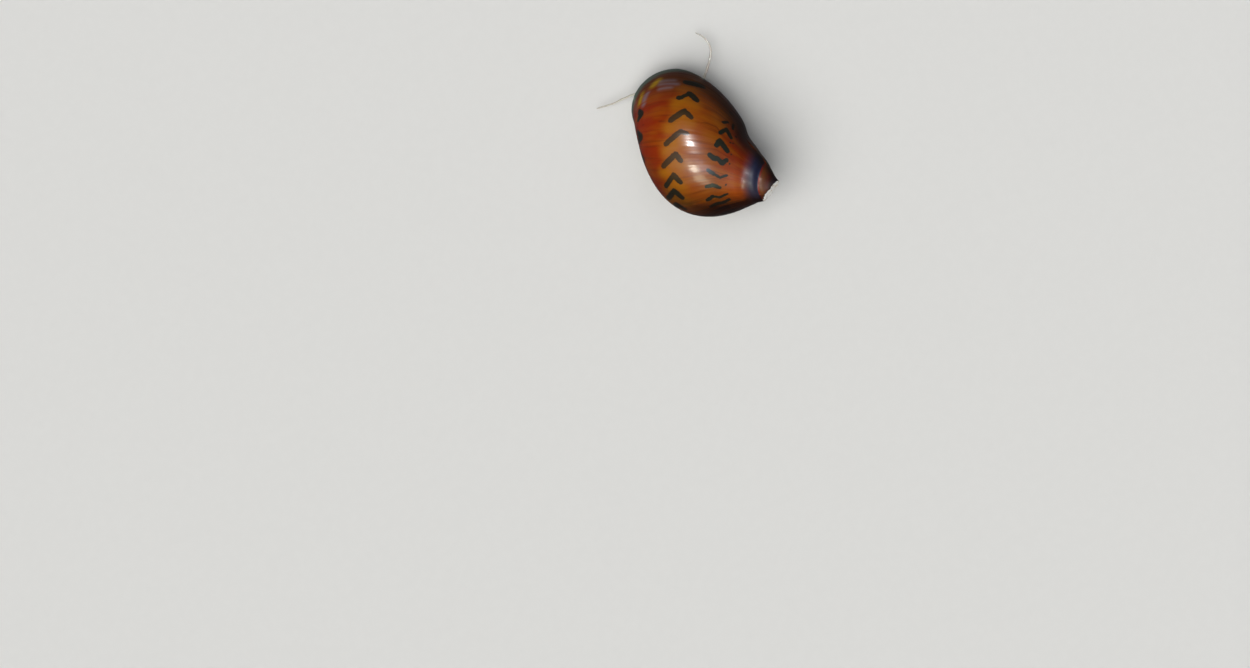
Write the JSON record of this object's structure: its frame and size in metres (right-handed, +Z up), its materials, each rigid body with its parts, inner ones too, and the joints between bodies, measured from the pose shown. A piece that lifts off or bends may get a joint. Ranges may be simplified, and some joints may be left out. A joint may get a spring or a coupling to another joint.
{
  "type": "nerite snail",
  "caption": "Life-size nerite snail crawling on a level floor, with a smooth egg-shaped shell, a flat foot, a short snout and two thin tentacles held out.",
  "frame": {"origin": "on the floor under the middle of the animal's bounding box, tentacles included", "axes": "+Z up; the head points along -Y and the animal's left side is towards +X"},
  "size_m": [0.0152, 0.0208, 0.011],
  "materials": {
    "shell": "glossy red-brown shell with rows of black chevrons and a worn white tip",
    "flesh": "moist grey-buff skin with dark flecks",
    "eye": "glossy black",
    "operculum": "fine-grained, dark grey-brown"
  },
  "bodies": {
    "root": {"shell": "shell", "operculum": "operculum", "mantle": "flesh", "trunk": "flesh", "foot_front": "flesh", "foot_middle": "flesh", "foot_tail": "flesh", "head": "flesh", "snout": "flesh", "tentacle_right_base": "flesh", "tentacle_right_middle": "flesh", "tentacle_right_tip": "flesh", "tentacle_left_base": "flesh", "tentacle_left_middle": "flesh", "tentacle_left_tip": "flesh", "eyestalk_right": "flesh", "eyestalk_left": "flesh", "eye_right": "eye", "eye_left": "eye"}
  },
  "joints": []
}
